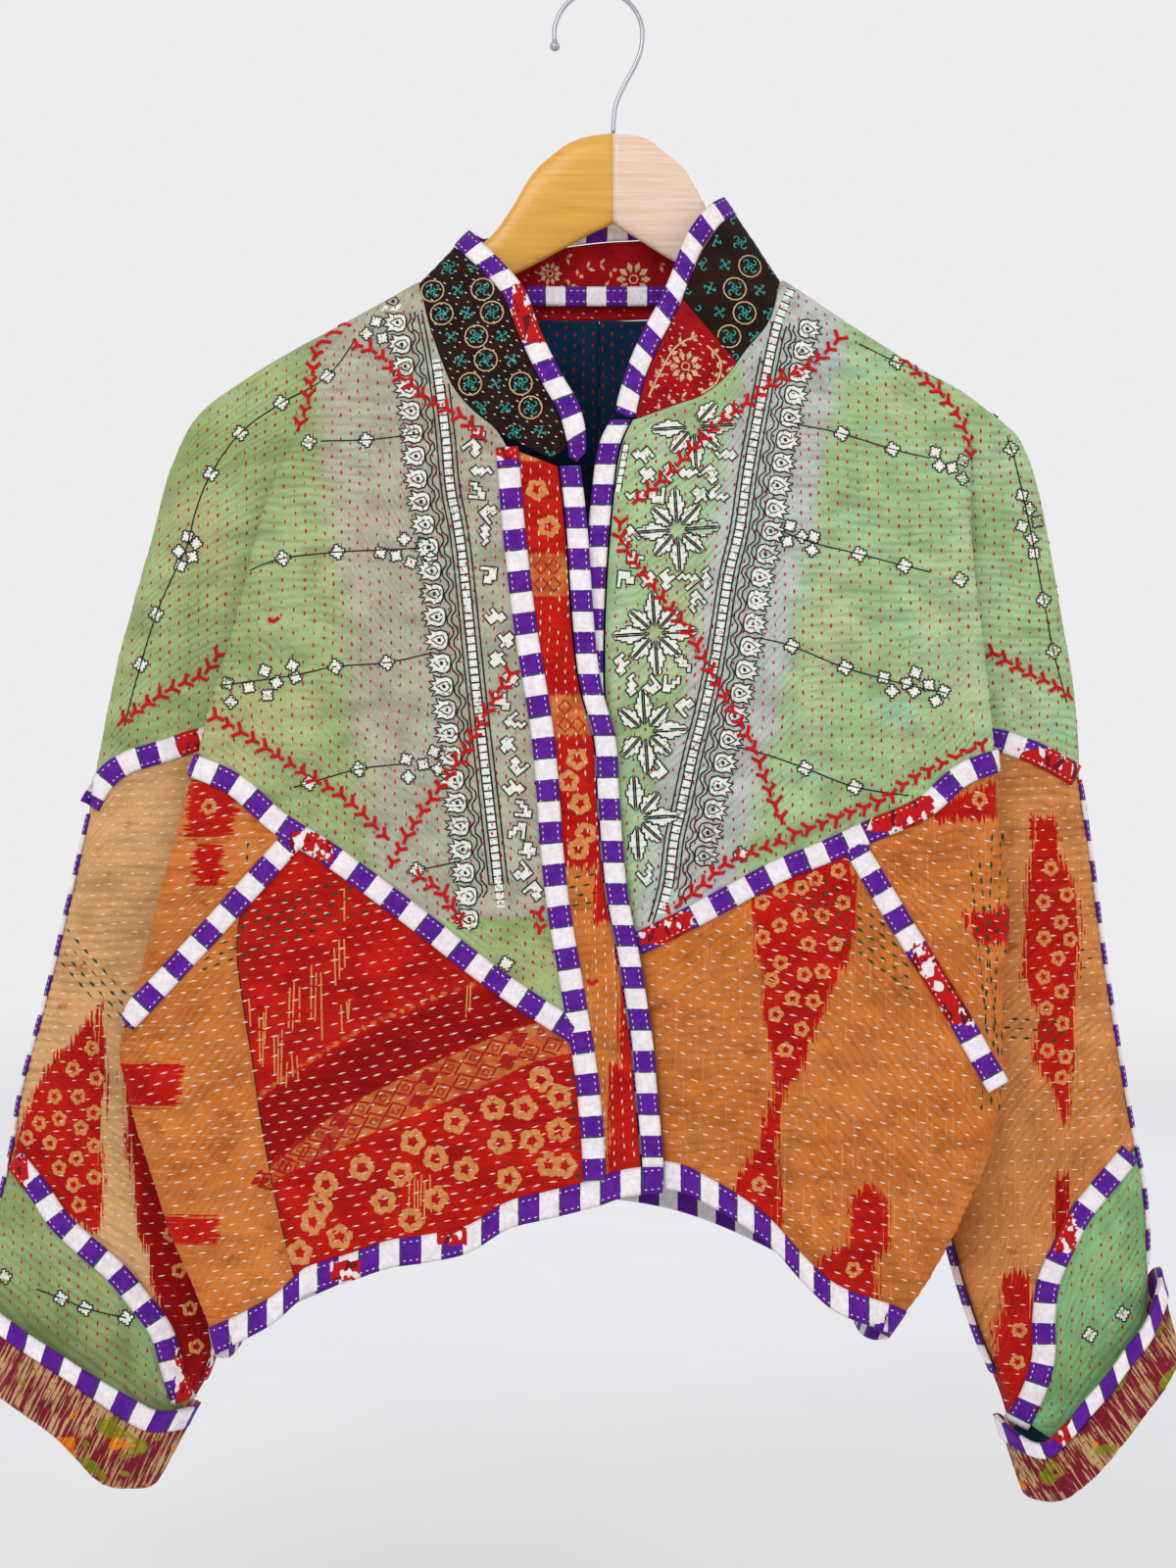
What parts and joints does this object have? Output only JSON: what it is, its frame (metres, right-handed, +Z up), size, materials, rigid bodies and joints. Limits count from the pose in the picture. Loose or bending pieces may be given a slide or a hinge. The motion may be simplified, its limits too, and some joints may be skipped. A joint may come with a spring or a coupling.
{
  "type": "kantha jacket on a wooden hanger",
  "caption": "Cropped quilted patchwork jacket with stand collar, wide turned-up sleeves and striped bindings, hanging on a wooden hanger.",
  "frame": {"origin": "inside of the crown of the hanger's hook, where a rail or wall hook carries it", "axes": "+Z up, +X towards the wearer's left (the viewer's right), +Y from the front of the jacket to its back"},
  "size_m": [0.7099, 0.0982, 0.8769],
  "materials": {
    "green_print": "matt quilted cotton",
    "ikat_orange": "matt quilted cotton",
    "ikat_red": "matt quilted cotton",
    "brown_turquoise": "matt quilted cotton",
    "kalamkari_red": "matt quilted cotton",
    "striped_binding": "matt plain-weave cotton",
    "cuff_ikat": "matt quilted cotton",
    "wood": "clear satin varnish",
    "steel": "polished wire"
  },
  "bodies": {
    "root": {"back_lower_left": "ikat_orange", "back_lower_right": "ikat_orange", "back_upper_left": "green_print", "back_upper_right": "green_print", "binding_back_middle": "striped_binding", "binding_back_yoke_left": "striped_binding", "binding_back_yoke_right": "striped_binding", "binding_band_edge": "striped_binding", "binding_band_seam": "striped_binding", "binding_collar": "striped_binding", "binding_cuff_left": "striped_binding", "binding_cuff_right": "striped_binding", "binding_front_left": "striped_binding", "binding_hem_back_left": "striped_binding", "binding_hem_back_right": "striped_binding", "binding_hem_left": "striped_binding", "binding_hem_right": "striped_binding", "binding_overarm_left": "striped_binding", "binding_overarm_right": "striped_binding", "binding_petal_left": "striped_binding", "binding_petal_right": "striped_binding", "binding_pocket_left": "striped_binding", "binding_pocket_right": "striped_binding", "binding_sleeve_left": "striped_binding", "binding_sleeve_right": "striped_binding", "binding_underarm_left": "striped_binding", "binding_underarm_right": "striped_binding", "binding_yoke_left": "striped_binding", "binding_yoke_right": "striped_binding", "collar_brown_left": "brown_turquoise", "collar_brown_right": "brown_turquoise", "collar_red_back": "kalamkari_red", "collar_red_left": "kalamkari_red", "front_band": "ikat_red", "front_lower_left": "ikat_orange", "front_lower_right": "ikat_red", "front_upper_left": "green_print", "front_upper_right": "green_print", "hanger_arm_left": "wood", "hanger_arm_right": "wood", "hanger_hook": "steel", "pocket_side_left": "ikat_orange", "pocket_side_right": "ikat_orange", "side_strip_right": "ikat_orange", "sleeve_back_left": "ikat_orange", "sleeve_back_right": "ikat_orange", "sleeve_back_underarm_left": "ikat_orange", "sleeve_front_left": "ikat_orange", "sleeve_front_right": "ikat_orange", "sleeve_petal_left": "green_print", "sleeve_petal_right": "green_print", "turn_up_left": "cuff_ikat", "turn_up_right": "cuff_ikat"}
  },
  "joints": []
}
